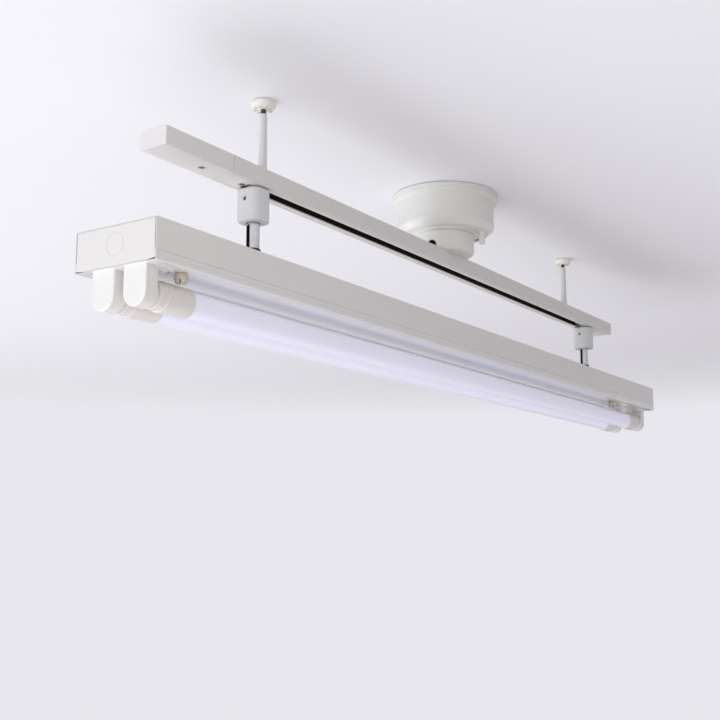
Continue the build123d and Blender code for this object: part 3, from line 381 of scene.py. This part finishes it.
def tint(material, pattern, first, second):
    """Colour that goes from one tint to another with a pattern."""
    tree = material.node_tree
    ramp = add_node(tree, "ShaderNodeValToRGB")
    ramp.color_ramp.interpolation = "EASE"
    for stop, position, colour in zip(ramp.color_ramp.elements, PATTERN_RANGE, (first, second)):
        stop.position = position
        stop.color = (*colour, 1)
    tree.links.new(pattern, ramp.inputs["Fac"])
    tree.links.new(ramp.outputs["Color"], tree.nodes["Principled BSDF"].inputs["Base Color"])


def relief(material, pattern, depth, strength):
    """Fine bumps of a real depth, in metres."""
    tree = material.node_tree
    bump = add_node(tree, "ShaderNodeBump", Strength=strength, Distance=depth)
    tree.links.new(pattern, bump.inputs["Height"])
    tree.links.new(bump.outputs["Normal"], tree.nodes["Principled BSDF"].inputs["Normal"])


def shade(colour, share):
    """A colour made a little darker."""
    return tuple(share * part for part in colour)


def uneven(slot, colour, roughness, bumps, gloss, hue):
    """A finish with fine bumps, and gloss and tint that wander a little."""
    material = finish(slot, colour, roughness)
    scale, detail, depth, strength = bumps
    relief(material, grain(material, scale, detail), depth, strength)
    spread_roughness(material, grain(material, *gloss), roughness - GLOSS_STEP, roughness + GLOSS_STEP)
    tint(material, grain(material, *hue), colour, shade(colour, TINT_SHARE))
    return material


def powder_coat(slot, colour, roughness):
    """White powder coat with a faint orange peel."""
    return uneven(slot, colour, roughness, COAT_BUMPS, COAT_GLOSS, COAT_TINT)


def moulding(slot, colour, roughness):
    """Moulded plastic with a very fine texture."""
    return uneven(slot, colour, roughness, MOULD_BUMPS, MOULD_GLOSS, MOULD_TINT)


def slope(material):
    """How level a face lies: 0 for an upright one, 1 for a flat one."""
    tree = material.node_tree
    side = add_node(tree, "ShaderNodeNewGeometry")
    size = add_node(tree, "ShaderNodeMath")
    size.operation = "ABSOLUTE"
    tree.links.new(split_vector(tree, side.outputs["Normal"])["Z"], size.inputs[0])
    return size.outputs[0]


def level_faces_painted_light(slot, upright, flat):
    """Powder coat with the body's colour on the upright faces, and on the flat faces a glossier, lacquered
    coat painted lighter, as painted light.
    """
    upright_colour, upright_roughness = upright
    flat_colour, flat_roughness = flat
    material = finish(slot, flat_colour, flat_roughness, coat=PAN_LACQUER)
    scale, detail, depth, strength = COAT_BUMPS
    relief(material, grain(material, scale, detail), depth, strength)
    level = slope(material)
    spread_roughness(material, level, upright_roughness, flat_roughness)
    # Painted light: the level faces get the lighter colour
    tint(material, level, upright_colour, flat_colour)
    return material


def metal(slot, colour, roughness, stretch):
    """Bare or plated metal, with fine marks along one direction."""
    material = finish(slot, colour, roughness, metallic=1.0)
    scale, detail, depth, strength = METAL_BUMPS
    marks = grain(material, scale, detail, stretch)
    relief(material, marks, depth, strength)
    smooth, rough = (share * roughness for share in METAL_GLOSS_SHARES)
    spread_roughness(material, marks, smooth, rough)
    tint(material, grain(material, *METAL_TINT), colour, shade(colour, METAL_TINT_SHARE))
    return material


def milky(slot, colour, roughness, glow):
    """Milky diffuser: moulded plastic with a painted glow that stands in for light passed on, fading out at
    its back as painted shade.
    """
    material = moulding(slot, colour, roughness)
    tree = material.node_tree
    shader = tree.nodes["Principled BSDF"]
    # Painted glow, faded out on the faces turned to the back as painted shade
    shader.inputs["Emission Color"].default_value = (*glow, 1)
    place = add_node(tree, "ShaderNodeTexCoord")
    start, end = PAINTED_GLOW_FADE
    fading = add_node(tree, "ShaderNodeMapRange", From_Min=start, From_Max=end, To_Min=1.0, To_Max=0.0)
    tree.links.new(split_vector(tree, place.outputs["Normal"])["Z"], fading.inputs["Value"])
    tree.links.new(fading.outputs["Result"], shader.inputs["Emission Strength"])
    return material


def make_materials():
    """One material for each of the record's slots, and one for the rods."""
    materials = {}
    for slot, look in PLASTICS.items():
        materials[slot] = moulding(slot, *look)
    for slot, look in COATS.items():
        materials[slot] = powder_coat(slot, *look)
    for slot, look in METALS.items():
        materials[slot] = metal(slot, *look)
    materials["pan_paint"] = level_faces_painted_light("pan_paint", COATS["body_paint"], PAN_FLAT_PAINTED_LIGHT)
    materials["diffuser_milky"] = milky("diffuser_milky", *DIFFUSER, DIFFUSER_PAINTED_GLOW)
    return materials


def thread_radius(angle, rise, length, crest):
    """Distance of the thread's surface from the stud's axis: a triangular helix that tapers at both ends."""
    share = (rise / THREAD_PITCH - angle / math.tau) % 1.0
    cut = THREAD_DEPTH * abs(2 * share - 1)
    lead = min(1.0, min(rise, length - rise) / THREAD_LEAD)
    return min(crest - cut, crest - THREAD_DEPTH * (1 - lead))


def make_stud(end, material):
    """Threaded stud in place of the plain one, inside its outline."""
    node = "foot_stud_" + end
    low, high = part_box(node)
    middle = (low + high) / 2
    crest = (high.x - low.x) / 2
    length = high.z - low.z
    rows = round(length / THREAD_PITCH * THREAD_ROWS)
    corners = []
    for row in range(rows + 1):
        rise = length * row / rows
        for side in range(THREAD_SIDES):
            angle = math.tau * side / THREAD_SIDES
            radius = thread_radius(angle, rise, length, crest)
            x = middle.x + radius * math.cos(angle)
            y = middle.y + radius * math.sin(angle)
            corners.append((x, y, low.z + rise))
    faces = [tuple(range(THREAD_SIDES))[::-1]]
    for row in range(rows):
        for side in range(THREAD_SIDES):
            first = row * THREAD_SIDES + side
            second = row * THREAD_SIDES + (side + 1) % THREAD_SIDES
            faces.append((first, second, second + THREAD_SIDES, first + THREAD_SIDES))
    faces.append(tuple(range(rows * THREAD_SIDES, (rows + 1) * THREAD_SIDES)))
    mesh = bpy.data.meshes.new("stud_thread_" + end)
    mesh.from_pydata(corners, [], faces)
    mesh.materials.append(material)
    stud = bpy.data.objects.new("stud_thread_" + end, mesh)
    link(stud)
    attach(stud, node)
    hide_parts(node)


def dress_nodes(materials):
    """Give each solid the material of its slot, and the rods their own cooler white."""
    for row in frame["record"]["subparts"]:
        mesh = NODES[row["node"]].data
        slot = "rod_paint" if row["node"].startswith("support_rod") else row["material_slot"]
        for place in range(len(mesh.materials)):
            mesh.materials[place] = materials[slot]


make_camera()
make_world()
make_stage()
make_backdrop()
make_lamps()
MATERIALS = make_materials()
dress_nodes(MATERIALS)
for end in ("left", "right"):
    make_stud(end, MATERIALS["stud_steel"])
bpy.context.scene.view_settings.view_transform = "Standard"
